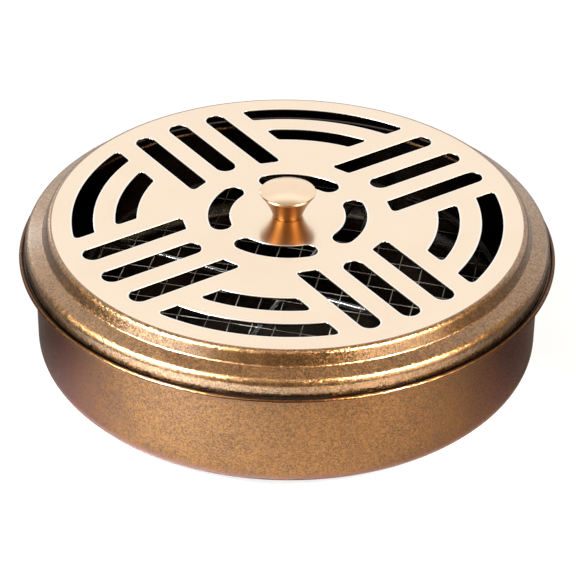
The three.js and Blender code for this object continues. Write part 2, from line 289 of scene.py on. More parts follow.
def build_surround():
    """White behind the object, a dim warm room in front of it and two strips in the room.
    Heights and the way to the front are shares of a line of length 1."""
    world = bpy.data.worlds.new("studio")
    bpy.context.scene.world = world
    world.use_nodes = True
    tree = world.node_tree
    tree.nodes.clear()
    way = add_node(tree, "TexCoord").outputs["Generated"]
    height = along(tree, way, "Z")
    front = vector_maths(tree, "DOT_PRODUCT", way, direction(CAMERA_AZIMUTH, 0))
    backdrop = remap(tree, height, 0.66, 0.86, 1.0, SURROUND_OVERHEAD)
    low_room = remap(tree, height, 0.2, 0.6, ROOM_LOW, ROOM_HIGH)
    top_room = remap(tree, height, 0.88, 0.98, 0.0, ROOM_TOP - ROOM_HIGH)
    room = maths(tree, "ADD", low_room, top_room)
    in_front = remap(tree, front, -0.60, -0.30)
    warm_room = vector_maths(tree, "MULTIPLY", ROOM_COLOUR, room)
    level = two_colours(tree, in_front, backdrop, warm_room)
    for face_azimuth, strength, colour in STRIPS:
        glow = tuple(strength * part for part in colour)
        share = strip_share(tree, way, front, face_azimuth)
        level = vector_maths(tree, "MULTIPLY_ADD", glow, share, level)
    camera_ray = add_node(tree, "LightPath").outputs["Is Camera Ray"]
    seen = vector_maths(tree, "MAXIMUM", level, camera_ray)
    light = add_node(tree, "Background", {"Color": seen, "Strength": 1.0})
    add_node(tree, "OutputWorld", {"Surface": light.outputs[0]})


build_surround()
print("surround: white behind,", SURROUND_OVERHEAD, "overhead,", ROOM_HIGH, "in front")

# %% Lamps
LAMP_DISTANCE = 0.7
BEAM_BLEND = 0.7


def soft_lamp(name, azimuth, elevation, aim, beam, radius, strength, colour):
    """A round lamp and its aim, a point given as (azimuth, distance and height in mm).
    The strength is what a face turned to the lamp receives."""
    data = bpy.data.lights.new(name, "SPOT")
    data.spot_size = radians(beam)
    data.spot_blend = BEAM_BLEND
    data.shadow_soft_size = radius
    data.color = colour
    data.energy = strength * 4 * pi * LAMP_DISTANCE ** 2
    lamp = add_object(name, data)
    way = direction(CAMERA_AZIMUTH + radians(azimuth), radians(elevation))
    aim_azimuth, aim_distance, aim_height = aim
    target = direction(CAMERA_AZIMUTH + radians(aim_azimuth), 0) * aim_distance * MM
    lamp.location = target + Vector((0, 0, aim_height * MM)) + way * LAMP_DISTANCE
    lamp.rotation_mode = "QUATERNION"
    lamp.rotation_quaternion = way.to_track_quat("Z", "Y")


soft_lamp("bead_left", -62, 48, (-30, 60, 36), 14, 0.07, 1.5, COOL)
soft_lamp("bead_right", 54, 48, (28, 60, 36), 14, 0.07, 1.0, WARM)
soft_lamp("pool_left", -62, 50, (-33, 113, 0), 8.5, 0.045, 115.0, COOL)
soft_lamp("pool_right", 56, 50, (29, 113, 0), 8.5, 0.045, 60.0, WARM)
soft_lamp("back_left", -150, 22, (-90, 70, 38), 14, 0.06, 0.12, COOL)
print("five soft lamps")

# %% [markdown]
# Turned pieces
#
# The tray, the knob, the washer and the ring are all round. On a lathe such a piece is a
# profile that turns about an axis, and the mesh is made in the same way. A profile point
# also holds the tilt of its surface: 0 faces up, 90 degrees faces out. The shading can
# then follow the true surface, and a flat stays perfectly flat next to a tight bend. With
# Blender's own averaged normals, a shiny flat would look dented beside each bend.

# %% Profile helpers


def spread(first, last, steps):
    """Even steps from one number to another, both ends included."""
    return [first + (last - first) * i / steps for i in range(steps + 1)]


def face_point(radius, height, tilt_degrees):
    return (radius, height, radians(tilt_degrees))


def face_arc(radius, height, bend, tilt_from, tilt_to, steps):
    """An arc round a centre in the profile. A negative bend makes a hollow corner."""
    return [
        (radius + bend * sin(tilt), height + bend * cos(tilt), tilt)
        for tilt in map(radians, spread(tilt_from, tilt_to, steps))
    ]


def band_profile(inner, outer, low, high, edge, steps):
    """The section of a flat ring with rounded edges."""
    return [
        face_point(inner + edge, low, 180),
        *face_arc(outer - edge, low + edge, edge, 180, 90, steps),
        *face_arc(outer - edge, high - edge, edge, 90, 0, steps),
        *face_arc(inner + edge, high - edge, edge, 0, -90, steps),
        *face_arc(inner + edge, low + edge, edge, -90, -180, steps),
    ]


def behind(face, thickness):
    """The other side of a sheet, in the opposite order and facing the other way."""
    return [
        (radius - thickness * sin(tilt), height - thickness * cos(tilt), tilt + pi)
        for radius, height, tilt in reversed(face)
    ]


def facing(tilt, turn):
    """The way a surface faces, from its tilt and from how far it is turned about Z."""
    return (sin(tilt) * cos(turn), sin(tilt) * sin(turn), cos(tilt))


def new_piece(mesh, material, body, nodes=()):
    """Puts a finished mesh in the scene, on its body, in place of its CAD nodes. The piece
    has the name of its mesh."""
    piece = add_object(mesh.name, mesh)
    mesh.materials.append(material)
    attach(piece, body)
    if nodes:
        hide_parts(*nodes)
    print(piece.name, "has", len(mesh.polygons), "faces")


# %% Lathe
TINY = 1e-6


def turned_mesh(name, runs, steps, closed=False):
    """Turns a profile about Z. Each run is smooth; where two runs meet, the edge is sharp."""
    rows = []
    strips = []
    for run in runs:
        indices = []
        for radius, height, tilt in run:
            if not rows or math.dist(rows[-1], (radius, height)) >= TINY:
                rows.append((radius, height))
            indices.append(len(rows) - 1)
        for k in range(len(run) - 1):
            if indices[k] != indices[k + 1]:
                strips.append((indices[k], run[k][2], indices[k + 1], run[k + 1][2]))
    if closed:
        strips.append((len(rows) - 1, runs[-1][-1][2], 0, runs[0][0][2]))

    turns = spread(0, 2 * pi, steps)[:-1]
    points = []
    first = []
    for radius, height in rows:
        first.append(len(points))
        around = turns if radius > TINY else turns[:1]
        points += [
            (radius * cos(a) * MM, radius * sin(a) * MM, height * MM) for a in around
        ]

    def corner(row, j):
        return first[row] + (j % steps if rows[row][0] > TINY else 0)

    faces = []
    normals = []
    for low, low_tilt, high, high_tilt in strips:
        for j in range(steps):
            ring = [(low, j, low_tilt), (low, j + 1, low_tilt),
                    (high, j + 1, high_tilt), (high, j, high_tilt)]
            face = []
            for row, step, tilt in ring:
                if corner(row, step) not in face:
                    face.append(corner(row, step))
                    normals.append(facing(tilt, turns[step % steps]))
            faces.append(face)
    mesh = bpy.data.meshes.new(name)
    mesh.from_pydata(points, [], faces)
    mesh.polygons.foreach_set("use_smooth", [True] * len(faces))
    mesh.normals_split_custom_set(normals)
    mesh.update()
    return mesh


# %% [markdown]
# Bronze flake paint
#
# The tray and the rolled edge of the lid have a bronze paint full of fine metal flakes.
# The tray's copy of the paint is darker than the lid's, as painted shade on its upright wall, and
# the lid's copy shines more.
# Each flake lies at its own small angle, so the surface sparkles in grains of less than
# half a millimetre. A noise bump would look like orange peel; a Voronoi pattern gives
# separate flakes, each with its own tilt and its own shade, under a thin clear coat.

# %% Flake paint recipe
FLAKE_SIZE = 0.30 * MM
TRAY_FLAKE_TILT = 0.20
LID_FLAKE_TILT = 0.26
# the tray's darker copy of the bronze is painted shade
TRAY_BRONZE_SHADED = ((0.048, 0.018, 0.003, 1), (0.210, 0.090, 0.019, 1))
LID_BRONZE = ((0.130, 0.056, 0.014, 1), (0.430, 0.232, 0.086, 1))
# painted shade for the tray's inside, the seam and the lid's underside; the brown is painted light
# in patches
PAINTED_SHADE_DARK = (0.016, 0.013, 0.011, 1)
PAINTED_LIGHT_BROWN = (0.070, 0.050, 0.033, 1)


def flakes(tree, place, tilt):
    """The shade of each flake, and a normal that leans its own way on each."""
    cells = add_node(tree, "TexVoronoi", {"Vector": place, "Scale": 1 / FLAKE_SIZE})
    centred = vector_maths(tree, "SUBTRACT", cells.outputs["Color"], (0.5, 0.5, 0.5))
    lean = vector_maths(tree, "MULTIPLY", centred, (tilt, tilt, tilt))
    surface = add_node(tree, "NewGeometry").outputs["Normal"]
    normal = vector_maths(tree, "NORMALIZE", vector_maths(tree, "ADD", surface, lean))
    shade = add_node(tree, "SeparateColor", {0: cells.outputs["Color"]}).outputs[0]
    return shade, normal


def cloud(tree, place, size, detail=2.0):
    """Slow soft variation; size is in metres."""
    inputs = {"Vector": place, "Scale": 1 / size, "Detail": detail}
    return add_node(tree, "TexNoise", inputs).outputs["Fac"]


def wander(tree, place, size, low, high, detail=2.0):
    """A value that changes slowly over the piece, between two limits."""
    return remap(tree, cloud(tree, place, size, detail), 0.3, 0.7, low, high)


def painted_shade_and_light(tree, place, size):
    """Painted shade, near black, with lighter patches of painted light: how lit a patch is, from 0
    to 1, and the colour.
    """
    lit_patch = remap(tree, cloud(tree, place, size, 5.0), 0.35, 0.65)
    return lit_patch, two_colours(tree, lit_patch, PAINTED_SHADE_DARK, PAINTED_LIGHT_BROWN)


def bronze_colour(tree, place, shade, colours):
    """The paint's colour: a mix for each flake, a little uneven over the whole."""
    share = maths(tree, "ADD", shade, wander(tree, place, 12 * MM, -0.08, 0.08))
    return two_colours(tree, share, *colours)


# %% Tray paint
EDGE_TINT = (0.55, 0.30, 0.11, 1)


def tray_paint():
    material, tree = empty_material("bronze_flake_paint")
    place = place_on_object(tree)
    shade, normal = flakes(tree, place, TRAY_FLAKE_TILT)
    outside = bronze_colour(tree, place, shade, TRAY_BRONZE_SHADED)
    # painted shade: near black inside the tray and in the seam, with brown patches of painted light
    inner = painted_shade_and_light(tree, place, 9 * MM)[1]
    colour = two_colours(tree, stored(tree, "inside"), outside, inner)
    rough = wander(tree, place, 3 * MM, 0.21, 0.27)
    return with_surface(material, metal(tree, colour, rough, {
        "Normal": normal, "Specular Tint": EDGE_TINT,
        "Coat Weight": 0.6, "Coat Roughness": 0.22, "Coat IOR": 1.5,
    }))


# %% [markdown]
# Tray
#
# The tray is one pressing: a flat bottom, a rounded corner, an upright wall and a narrow
# flange whose edge is rolled into a bead, so that nobody is cut by it. It could be a
# cylinder with a Solidify modifier, but the bead and the bend of the flange wouldn't come
# out, so the whole section of the sheet is drawn and turned. The inside and the seam under
# the lid are near black as painted shade, with lighter brown patches of painted light, and
# the mesh says where these places are.

# %% Tray sizes
SHEET = 0.6
TRAY_HEIGHT = 32.0
TRAY_RADIUS = 70.45
TRAY_CORNER = 6.4
RIM_RADIUS = 74.75
RIM_BEAD = 0.6
FLANGE_BEND = 1.0
FLANGE_UNDERSIDE = TRAY_HEIGHT - 2 * RIM_BEAD
ROUND_STEPS = 256
NEARLY_SHEET = 0.9 * SHEET

# %% Tray mesh


def tray_runs():
    outside = [
        face_point(0, 0, 180),
        *face_arc(TRAY_RADIUS - TRAY_CORNER, TRAY_CORNER, TRAY_CORNER, 180, 90, 20),
        *face_arc(
            TRAY_RADIUS + FLANGE_BEND, FLANGE_UNDERSIDE - FLANGE_BEND, -FLANGE_BEND, 90, 180, 10
        ),
    ]
    bead_radius = RIM_RADIUS - RIM_BEAD
    bead = face_arc(bead_radius, FLANGE_UNDERSIDE + RIM_BEAD, RIM_BEAD, 180, -90, 24)
    return [outside + bead, [bead[-1][:2] + (0.0,)] + behind(outside, SHEET)]


def mark_painted_shade(mesh):
    """Stores 1 on the points inside the tray and in the seam under the lid, which get painted shade,
    0 elsewhere.
    A point counts as inside from a little less than the sheet's thickness."""
    mark = mesh.attributes.new("inside", "FLOAT", "POINT")
    bead_crest = (RIM_RADIUS - RIM_BEAD - 0.05) * MM
    for point, value in zip(mesh.vertices, mark.data):
        reach = math.hypot(point.co.x, point.co.y)
        corner = math.hypot(
            max(0.0, reach - (TRAY_RADIUS - TRAY_CORNER) * MM),
            max(0.0, TRAY_CORNER * MM - point.co.z),
        )
        inner = point.co.z > NEARLY_SHEET * MM and corner < (TRAY_CORNER - NEARLY_SHEET) * MM
        seam = point.co.z > (FLANGE_UNDERSIDE + NEARLY_SHEET) * MM and reach < bead_crest
        value.value = 1.0 if inner or seam else 0.0


tray_mesh = turned_mesh("tray_cup", tray_runs(), ROUND_STEPS)
mark_painted_shade(tray_mesh)
new_piece(tray_mesh, tray_paint(), "tray", ["tray"])

# %% [markdown]
# Lid: its section
#
# The lid is one pressing too. From the middle outwards it has a flat plate, a well rounded
# shoulder, a slanted step down into a groove, a sloping ledge, a round bead and a skirt
# that drops inside the tray's rim. The cut edge at the bottom of the skirt is half round.
# The plain solids keep a gap of 0.3 mm between pieces that lie on each other, and the
# finer pieces keep it too.

# %% Lid sizes
GAP = 0.3
LID_HEIGHT = 9.93
LID_BOTTOM = FLANGE_UNDERSIDE + SHEET + GAP
PLATE_TOP = LID_BOTTOM + LID_HEIGHT
SKIRT_PLAY = 0.55
SKIRT_RADIUS = RIM_RADIUS - 2 * RIM_BEAD - SKIRT_PLAY
SKIRT_HEIGHT = 3.23
LEDGE_BEAD = 2.0
LEDGE_SLOPE = 17.4
STEP_TILT = 68
GROOVE_RADIUS = 67.99
GROOVE_BEND = 0.7
PLATE_RADIUS = 65.3
SHOULDER = 1.8


def groove_bend_centre():
    """Where the bend between the step and the ledge has its centre."""
    slope = radians(LEDGE_SLOPE)
    bead_centre = SKIRT_RADIUS - LEDGE_BEAD
    tangent_radius = bead_centre + LEDGE_BEAD * sin(slope)
    tangent_height = LID_BOTTOM + SKIRT_HEIGHT + LEDGE_BEAD * cos(slope)
    corner = Vector((
        GROOVE_RADIUS, tangent_height + (tangent_radius - GROOVE_RADIUS) * math.tan(slope)
    ))
    step_tilt = radians(STEP_TILT)
    step = Vector((sin(step_tilt), cos(step_tilt)))
    ledge = Vector((sin(slope), cos(slope)))
    return corner + (step + ledge) * (GROOVE_BEND / (1 + step.dot(ledge)))


def lid_face():
    """The lid's outer face from the plate's edge to the skirt's bottom edge."""
    bend = groove_bend_centre()
    return [
        *face_arc(PLATE_RADIUS, PLATE_TOP - SHOULDER, SHOULDER, 0, STEP_TILT, 14),
        *face_arc(bend.x, bend.y, -GROOVE_BEND, STEP_TILT, LEDGE_SLOPE, 8),
        *face_arc(
            SKIRT_RADIUS - LEDGE_BEAD, LID_BOTTOM + SKIRT_HEIGHT, LEDGE_BEAD, LEDGE_SLOPE, 90, 16
        ),
        face_point(SKIRT_RADIUS, LID_BOTTOM + SHEET / 2, 90),
    ]


print("lid: plate top at", round(PLATE_TOP, 2), "mm, skirt radius", round(SKIRT_RADIUS, 2), "mm")

# %% [markdown]
# Lid: its openings
#
# A press punches 24 openings: three straight slots along each diagonal, and between them
# rows of curved ones. Cutting them with Boolean modifiers would work, but their edges
# would be razor sharp. A real punched edge is slightly drawn in on the side where the
# punch enters, and that thin roll is what catches the light. So each opening is drawn
# as a fine outline, and rings round it make the roll, the cut wall and the lower edge.

# %% Sizes of the openings
MIDDLE_SLOT = (28.94, 59.46)
SIDE_SLOT = (26.36, 58.28)
OUTER_ARC = (53.94, 59.78)
INNER_ARC = (41.9, 47.75)
SMALL_ARC_RADIUS = 19.15
SMALL_ARC_HALF = 5.87 / 2
SMALL_ARC_REACH = radians(26.4)
SLOT_HALF = 5.73 / 2
SLOT_PITCH = 12.07
SIDE_SLANT = radians(19.8)
ARC_END_OFFSET = 21.4
WIDE_CORNER = 2.0
TIGHT_CORNER = 0.7
END_STEPS = 18
CORNER_STEPS = 9

# %% Outlines of the openings


def arc_points(centre, radius, angle_from, angle_to, steps):
    return [
        Vector((centre[0] + radius * cos(angle), centre[1] + radius * sin(angle)))
        for angle in spread(angle_from, angle_to, steps)
    ]


def corner_curve(start, corner, end, steps):
    """A smooth curve that starts and ends along the two sides of a corner."""
    return [
        start * (1 - t) ** 2 + corner * (2 * t * (1 - t)) + end * t ** 2
        for t in spread(0, 1, steps)
    ]


def rounded(before, corner, after, radius):
    """A rounded corner between the edges to the points before and after it."""
    start = corner + (before - corner).normalized() * radius
    end = corner + (after - corner).normalized() * radius
    return corner_curve(start, corner, end, CORNER_STEPS)


def straight_slot(inner, outer, side):
    """A slot along +X. The middle one (side 0) has two round ends. The inner end of a side
    one is cut at a slant, and its corner away from the middle slot is the wide one."""
    points = arc_points(
        (outer - SLOT_HALF, 0), SLOT_HALF, -pi / 2, pi / 2, END_STEPS
    )
    if side == 0:
        points += arc_points(
            (inner + SLOT_HALF, 0), SLOT_HALF, pi / 2, 3 * pi / 2, END_STEPS
        )
    else:
        lead = side * SLOT_HALF * math.tan(SIDE_SLANT)
        upper = Vector((inner - lead, SLOT_HALF))
        lower = Vector((inner + lead, -SLOT_HALF))
        corners = (WIDE_CORNER, TIGHT_CORNER) if side > 0 else (TIGHT_CORNER, WIDE_CORNER)
        points += rounded(points[-1], upper, lower, corners[0])
        points += rounded(upper, lower, points[0], corners[1])
    return [p + Vector((0, side * SLOT_PITCH)) for p in points]


def arc_opening(inner, outer):
    """A curved opening across +X, its ends cut parallel to the diagonal slots."""
    def reach(radius):
        return pi / 4 - math.asin(ARC_END_OFFSET / radius)

    def end(radius):
        return Vector((radius * cos(reach(radius)), radius * sin(reach(radius))))

    def arc(radius, corner, steps):
        limit = reach(radius) - corner / radius
        return arc_points((0, 0), radius, -limit, limit, steps)

    far = arc(outer, WIDE_CORNER, 46)
    near = list(reversed(arc(inner, TIGHT_CORNER, 40)))
    far_top, near_top = end(outer), end(inner)
    far_low, near_low = far_top * Vector((1, -1)), near_top * Vector((1, -1))
    return (
        far[1:-1] + rounded(far[-1], far_top, near_top, WIDE_CORNER)
        + rounded(far_top, near_top, near[0], TIGHT_CORNER)
        + near[1:-1] + rounded(near[-1], near_low, far_low, TIGHT_CORNER)
        + rounded(near_low, far_low, far[0], WIDE_CORNER)
    )


def small_arc():
    """The short curved opening next to the knob, with round ends."""
    middle, half_width, reach = SMALL_ARC_RADIUS, SMALL_ARC_HALF, SMALL_ARC_REACH
    upper = (middle * cos(reach), middle * sin(reach))
    lower = (upper[0], -upper[1])
    return (
        arc_points((0, 0), middle + half_width, -reach, reach, 24)[:-1]
        + arc_points(upper, half_width, reach, reach + pi, END_STEPS)[:-1]
        + arc_points((0, 0), middle - half_width, reach, -reach, 14)[:-1]
        + arc_points(lower, half_width, pi - reach, 2 * pi - reach, END_STEPS)[:-1]
    )


def turned_outline(points, angle):
    turn = Matrix.Rotation(angle, 2)
    return [turn @ p for p in points]


def all_openings():
    quarter = [turned_outline(shape, pi / 4) for shape in (
        straight_slot(*MIDDLE_SLOT, 0), straight_slot(*SIDE_SLOT, 1), straight_slot(*SIDE_SLOT, -1)
    )]
    quarter += [arc_opening(*OUTER_ARC), arc_opening(*INNER_ARC), small_arc()]
    return [turned_outline(shape, pi / 2 * k) for k in range(4) for shape in quarter]


openings = all_openings()
print(len(openings), "openings drawn")

# %% [markdown]
# Lid: its mesh
#
# The rings of the edge, the rings of each opening and the two flat faces between them go
# into one closed mesh. The flat faces are filled with triangles between the outlines. That
# is safe here only because every point carries its true normal: with averaged normals the
# long thin triangles would show in the mirror finish.

# %% Lid mesh
PUNCH_ROLL = 0.20
PUNCH_BURR = 0.06
# painted highlight: the nearly white line round each opening, and how it fades
HIGHLIGHT_WIDTH = 0.42
HIGHLIGHT_FADE = 0.1
SCREW_HOLE = 2.3
EDGE_STEPS = 360
UNDERSIDE_TILT = radians(91)


def edge_rings(low, high):
    """The rings from the top of a cut edge to its bottom. Each is a height, a setback, a
    tilt, how much painted highlight it gets, and how much smoke and painted shade."""
    level = pi / 2
    rings = [(high, HIGHLIGHT_WIDTH + HIGHLIGHT_FADE, 0, 0, 0), (high, HIGHLIGHT_WIDTH, 0, 1, 0)]
    for tilt in spread(0, level, 5):
        rings.append((
            high - PUNCH_ROLL * (1 - cos(tilt)), PUNCH_ROLL * (1 - sin(tilt)), tilt,
            1, level - tilt < TINY,
        ))
    for tilt in spread(level, pi, 2):
        rings.append((
            low + PUNCH_BURR * (1 + cos(tilt)), PUNCH_BURR * (1 - sin(tilt)), tilt,
            0, 1,
        ))
    return rings


def inward_normals(points):
    """For a loop that runs anticlockwise, the level direction into the opening."""
    normals = []
    for before, after in zip(points[-1:] + points[:-1], points[1:] + points[:1]):
        edge = after - before
        normals.append(Vector((-edge.y, edge.x)).normalized())
    return normals


class SheetMesh:
    """A mesh of closed loops of points. Each has its own normal and two marks."""

    def __init__(self):
        self.bm = bmesh.new()
        self.normals = []
        self.painted_highlight = []
        self.soot_and_shade_mark = []

    def loop(self, points, normals, painted_highlight, soot_and_shade_mark):
        self.normals += normals
        self.painted_highlight += [float(painted_highlight)] * len(points)
        self.soot_and_shade_mark += [float(soot_and_shade_mark)] * len(points)
        return [self.bm.verts.new(Vector(p) * MM) for p in points]

    def joined_loops(self, rows):
        """Adds loops and joins each to the next; the first and the last come back."""
        loops = [self.loop(*row) for row in rows]
        for upper, lower in zip(loops, loops[1:]):
            for i in range(len(upper)):
                j = (i + 1) % len(upper)
                self.bm.faces.new((upper[i], upper[j], lower[j], lower[i]))
        return loops[0], loops[-1]

    def fill(self, loops):
        edges = [
            self.bm.edges.get((loop[i - 1], point)) for loop in loops for i, point in enumerate(loop)
        ]
        bmesh.ops.triangle_fill(
            self.bm, edges=edges, use_beauty=True, use_dissolve=False, normal=(0, 0, 1)
        )

    def to_mesh(self, name):
        bmesh.ops.recalc_face_normals(self.bm, faces=self.bm.faces)
        mesh = bpy.data.meshes.new(name)
        self.bm.to_mesh(mesh)
        self.bm.free()
        mesh.polygons.foreach_set("use_smooth", [True] * len(mesh.polygons))
        mesh.normals_split_custom_set_from_vertices(self.normals)
        for mark, values in (("edge", self.painted_highlight), ("soot_and_shade_mark", self.soot_and_shade_mark)):
            mesh.attributes.new(mark, "FLOAT", "POINT").data.foreach_set("value", values)
        return mesh


def add_turned_edge(sheet, profile, steps):
    """The loops of a profile turned about Z; the first and the last come back."""
    turns = spread(0, 2 * pi, steps)[:-1]
    # faces turned down get smoke and painted shade
    return sheet.joined_loops(
        ([(radius * cos(a), radius * sin(a), height) for a in turns],
         [facing(tilt, a) for a in turns], 0, tilt > UNDERSIDE_TILT)
        for radius, height, tilt in profile
    )


def add_opening(sheet, outline, low, high):
    """The loops of one punched opening; the top and the bottom one come back."""
    inward = inward_normals(outline)
    return sheet.joined_loops(
        ([(*(p - n * setback), height) for p, n in zip(outline, inward)],
         [(*(n * sin(tilt)), cos(tilt)) for n in inward], painted_highlight, soot_and_shade_mark)
        for height, setback, tilt, painted_highlight, soot_and_shade_mark in edge_rings(low, high)
    )


def lid_mesh():
    sheet = SheetMesh()
    face = lid_face()
    round_end = face_arc(SKIRT_RADIUS - SHEET / 2, LID_BOTTOM + SHEET / 2, SHEET / 2, 90, 270, 10)
    profile = face + round_end[1:-1] + behind(face, SHEET)
    top, bottom = add_turned_edge(sheet, profile, EDGE_STEPS)
    tops, bottoms = [top], [bottom]
    screw_hole = arc_points((0, 0), SCREW_HOLE, 0, 2 * pi, 32)[:-1]
    for outline in openings + [screw_hole]:
        upper, lower = add_opening(sheet, outline, PLATE_TOP - SHEET, PLATE_TOP)
        tops.append(upper)
        bottoms.append(lower)
    sheet.fill(tops)
    sheet.fill(bottoms)
    return sheet.to_mesh("lid_cover")


# %% [markdown]
# Plate with a painted sheen
#
# The flat of the lid has the same bronze paint as its edge, smooth enough to mirror the knob
# softly. Its pale gold colour is a painted sheen of the bright backdrop, and it stops at the
# shoulder, where the bronze flake colour begins. One material does both: the distance from
# the lid's axis says which of the two a point gets. Round each opening a thin line is
# painted nearly white as a painted highlight. The cut walls and the whole underside are
# dark brown to black, from smoke and from painted shade. The mesh marks both places.

# %% Lid finish
# painted sheen: the plate's pale gold stands in for the bronze paint mirroring the backdrop
PLATE_SHEEN = (0.985, 0.815, 0.640, 1)
PLATE_SHEEN_DEEP = (0.945, 0.760, 0.580, 1)
PAINTED_EDGE_HIGHLIGHT = (1.0, 0.96, 0.88, 1)


def plate_sheen(tree, place):
    """A painted sheen: pale gold with a faint grain, and a painted highlight round each opening."""
    grain = cloud(tree, place, 0.35 * MM)
    wide = cloud(tree, place, 22 * MM)
    share = maths(tree, "MULTIPLY_ADD", grain, 0.6, maths(tree, "MULTIPLY", wide, 0.5))
    colour = two_colours(tree, remap(tree, share, 0.35, 0.8), PLATE_SHEEN, PLATE_SHEEN_DEEP)
    # painted highlight: a nearly white line round each opening
    colour = two_colours(tree, stored(tree, "edge"), colour, PAINTED_EDGE_HIGHLIGHT)
    return metal(tree, colour, 0.2, {"Normal": bump(tree, grain, 0.25, 0.004 * MM)})


def bronze(tree, place):
    """Flake paint for the lid's rolled edge."""
    shade, normal = flakes(tree, place, LID_FLAKE_TILT)
    colour = bronze_colour(tree, place, shade, LID_BRONZE)
    rough = wander(tree, place, 3 * MM, 0.25, 0.31)
    return metal(tree, colour, rough, {
        "Normal": normal, "Coat Weight": 0.85, "Coat Roughness": 0.20, "Coat IOR": 1.75,
    })


def underside_soot_and_shade(tree, place):
    """The lid's underside, cut walls and skirt edge, brown to black: smoke from the coil and painted
    shade.
    """
    lit_patch, colour = painted_shade_and_light(tree, place, 8 * MM)
    return metal(tree, colour, remap(tree, lit_patch, 0, 1, 0.42, 0.34))


def distance_from_axis(tree, place):
    level = vector_maths(tree, "MULTIPLY", place, (1, 1, 0))
    return vector_maths(tree, "LENGTH", level)


def lid_finish():
    material, tree = empty_material("champagne_plate")
    place = place_on_object(tree)
    reach = distance_from_axis(tree, place)
    # painted sheen on the flat plate, bronze flake paint beyond the shoulder
    share = remap(tree, reach, (PLATE_RADIUS - 0.05) * MM, (PLATE_RADIUS + 0.25) * MM)
    upper = two_shaders(tree, share, plate_sheen(tree, place), bronze(tree, place))
    # smoke and painted shade on the cut walls, the skirt's edge and the underside
    whole = two_shaders(tree, stored(tree, "soot_and_shade_mark"), upper, underside_soot_and_shade(tree, place))
    return with_surface(material, whole)


new_piece(lid_mesh(), lid_finish(), "lid", ["lid"])

# %% [markdown]
# Knob
#
# The knob is turned from solid bar: a thin-edged head with a low dome, on a stem that
# flares in one curve from its foot to the head. Its head is polished, and its pale gold is a
# painted sheen; the stem is more coppery and duller, with the fine rings of the turning
# tool, and its colour is darkened further as painted shade. A lathe profile with a rounded
# edge of a third of a millimetre gives the bright line round the head, and a small chamfer
# at the foot draws the dark line where the knob meets the plate. The cone that seems to
# stand under the stem is only its mirror image in the plate.

# %% Knob sizes and mesh
KNOB_HEIGHT = 9.0
HEAD_RADIUS = 7.8
HEAD_HEIGHT = 7.4
HEAD_EDGE = 0.35
HEAD_EDGE_TILT = 128
FOOT_RADIUS = 4.05
FOOT_CHAMFER = 0.22
FLARE_START = 0.25
BORE_DEPTH = 5.8
# painted sheen on the head; the stem's copper is darkened further as painted shade
HEAD_GOLD_SHEEN = ((0.97, 0.76, 0.55, 1), (0.91, 0.69, 0.48, 1))
STEM_COPPER_SHADED = ((0.40, 0.185, 0.052, 1), (0.31, 0.140, 0.036, 1))


def slope_tilt(before, after):
    """The tilt of the surface between two profile points, in radians."""
    return math.atan2(after[1] - before[1], -(after[0] - before[0]))


def with_tilts(points):
    """Gives each point of a smooth run the tilt of the surface there."""
    run = []
    for i, (radius, height) in enumerate(points):
        before = points[max(i - 1, 0)]
        after = points[min(i + 1, len(points) - 1)]
        run.append((radius, height, slope_tilt(before, after)))
    return run


def knob_runs():
    edge_centre = HEAD_RADIUS - HEAD_EDGE
    bore = [(0, BORE_DEPTH), (SCREW_HOLE, BORE_DEPTH), (SCREW_HOLE, 0)]
    cap_tilt = 2 * math.atan((KNOB_HEIGHT - HEAD_HEIGHT - HEAD_EDGE) / edge_centre)
    low = radians(HEAD_EDGE_TILT)
    edge = [
        (edge_centre + HEAD_EDGE * sin(t), HEAD_HEIGHT + HEAD_EDGE * cos(t))
        for t in spread(low, cap_tilt, 12)
    ]
    cap_radius = edge[-1][0] / sin(cap_tilt)
    cap_centre = edge[-1][1] - cap_radius * cos(cap_tilt)
    dome = [
        (cap_radius * sin(t), cap_centre + cap_radius * cos(t))
        for t in spread(cap_tilt, 0, 24)[1:]
    ]
    flare_top = edge[0][1]
    bow = (edge[0][0] - FOOT_RADIUS - FLARE_START * flare_top) / flare_top ** 2
    stem = [
        (FOOT_RADIUS + FLARE_START * z + bow * z ** 2, z)
        for z in spread(FOOT_CHAMFER, flare_top, 20)
    ]
    foot = (FOOT_RADIUS - FOOT_CHAMFER, 0)
    runs = [bore[0:2], bore[1:3], [bore[2], foot], [foot, stem[0]], stem, edge + dome]
    lifted = [[(max(r, 0.0), z + PLATE_TOP) for r, z in run] for run in runs]
    return [with_tilts(run) for run in lifted]


def knob_finish():
    material, tree = empty_material("knob_gold")
    place = place_on_object(tree)
    rings = add_node(tree, "TexNoise", {
        "Vector": distance_from_axis(tree, place), "Scale": 1 / (0.25 * MM), "Detail": 3.0,
    }).outputs["Fac"]
    blotch = cloud(tree, place, 2.5 * MM)
    head = two_colours(tree, blotch, *HEAD_GOLD_SHEEN)
    stem = two_colours(tree, blotch, *STEM_COPPER_SHADED)
    under_head = (PLATE_TOP + HEAD_HEIGHT - 0.5) * MM
    on_head = remap(tree, along(tree, place, "Z"), under_head, under_head + 0.25 * MM)
    # the head's pale gold is painted sheen, the stem's darker copper partly painted shade
    colour = two_colours(tree, on_head, stem, head)
    rough = remap(tree, on_head, 0, 1, 0.34, 0.16)
    relief = bump(tree, rings, 0.15, 0.003 * MM)
    return with_surface(material, metal(tree, colour, rough, {"Normal": relief}))


knob_mesh = turned_mesh("knob_body", knob_runs(), 160)
new_piece(knob_mesh, knob_finish(), "lid", ["knob"])

# %% [markdown]
# Screw and washer
#
# A screw from below holds the knob, with a washer under its head. Both are hidden until
# the lid is turned over, so they are ordinary zinc-bright steel parts: a pan head with a
# straight slot and a stamped washer with broken edges. The slot is cut with a Boolean,
# because nothing mirrors in it.

# %% Steel
STEEL_LIGHT = (0.72, 0.73, 0.75, 1)
STEEL_DARK = (0.55, 0.55, 0.57, 1)
